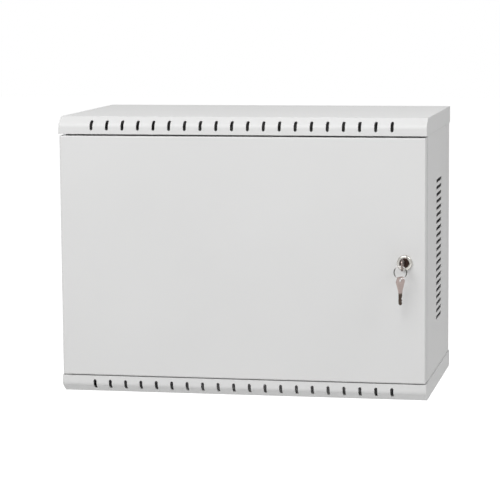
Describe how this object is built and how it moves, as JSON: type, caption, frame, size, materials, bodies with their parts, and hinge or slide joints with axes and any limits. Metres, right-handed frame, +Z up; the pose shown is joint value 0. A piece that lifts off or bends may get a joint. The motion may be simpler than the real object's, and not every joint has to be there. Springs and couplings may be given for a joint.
{
  "type": "wall mount network cabinet",
  "caption": "Wall mount network cabinet: hinged solid front door with a cam lock and keys, bent and slotted top and bottom covers, slotted sides and rack rails inside.",
  "frame": {"origin": "middle of the four wall bolt holes, on the back panel's rear face", "axes": "+Z up, the door faces -Y, +X to the right seen from the front"},
  "size_m": [0.54, 0.3439, 0.407],
  "materials": {
    "grey_powder_coat": "fine matte powder coat",
    "zinc_steel": "zinc plated",
    "chrome": "polished",
    "lock_core": "dark bronzed",
    "key_steel": "nickel plated, worn",
    "wire_steel": "bright wire",
    "black_rubber": "matte",
    "white_plastic": "matte"
  },
  "bodies": {
    "cabinet": {"top_cover": "grey_powder_coat", "bottom_cover": "grey_powder_coat", "side_panel_left": "grey_powder_coat", "side_panel_right": "grey_powder_coat", "back_panel": "grey_powder_coat", "rack_rail_left": "zinc_steel", "rack_rail_right": "zinc_steel", "depth_bar_upper_right": "zinc_steel", "depth_bar_lower_right": "zinc_steel", "depth_bar_upper_left": "zinc_steel", "depth_bar_lower_left": "zinc_steel", "rail_bolts": "zinc_steel", "rail_nuts": "zinc_steel", "cover_studs": "zinc_steel", "cover_nuts": "zinc_steel", "back_studs": "zinc_steel", "back_nuts": "zinc_steel", "flange_studs": "zinc_steel", "flange_nuts": "zinc_steel", "cable_entry_plate": "grey_powder_coat", "entry_plate_studs": "zinc_steel", "entry_plate_nuts": "zinc_steel", "earth_stud": "zinc_steel", "earth_nut": "zinc_steel", "door_buffers": "black_rubber"},
    "door": {"door_panel": "grey_powder_coat", "door_stiffener": "grey_powder_coat", "door_earth_stud": "zinc_steel", "door_earth_nut": "zinc_steel", "lower_hinge_pin": "zinc_steel", "lower_hinge_washer": "white_plastic", "upper_pin_bracket": "zinc_steel", "lock_body": "chrome", "lock_nut": "zinc_steel"},
    "hinge_pin": {"upper_hinge_pin": "zinc_steel", "upper_pin_collar": "zinc_steel", "upper_pin_spring": "zinc_steel"},
    "lock": {"lock_plug": "lock_core", "lock_cam": "zinc_steel", "cam_washer": "zinc_steel", "cam_screw": "zinc_steel"},
    "key": {"lock_key": "key_steel"},
    "ring": {"key_ring": "wire_steel"},
    "spare": {"spare_key": "key_steel"}
  },
  "joints": [
    {"name": "door_hinge", "type": "hinge", "parent": "cabinet", "child": "door", "pos_m": [-0.2615, -0.299, 0], "axis": [0, 0, -1], "range_deg": [0, 180]},
    {"name": "upper_pin_slide", "type": "slide", "parent": "door", "child": "hinge_pin", "axis": [0, 0, -1], "range_m": [0, 0.006], "stiffness_N_per_m": 250, "springref_m": -0.01, "deforming": ["upper_pin_spring"]},
    {"name": "lock_turn", "type": "hinge", "parent": "door", "child": "lock", "pos_m": [0.2388, -0.3, -0.002], "axis": [0, -1, 0], "range_deg": [0, 90]},
    {"name": "key_withdraw", "type": "slide", "parent": "lock", "child": "key", "axis": [0, -1, 0], "range_m": [0, 0.012]},
    {"name": "ring_swing", "type": "hinge", "parent": "key", "child": "ring", "pos_m": [0.2388, -0.3361, -0.002], "axis": [1, 0, 0], "range_deg": [-75, 12]},
    {"name": "spare_key_swing", "type": "hinge", "parent": "ring", "child": "spare", "pos_m": [0.23647, -0.3361, -0.02269], "axis": [0.8387, -0.5446, 0], "range_deg": [-60, 12]}
  ]
}
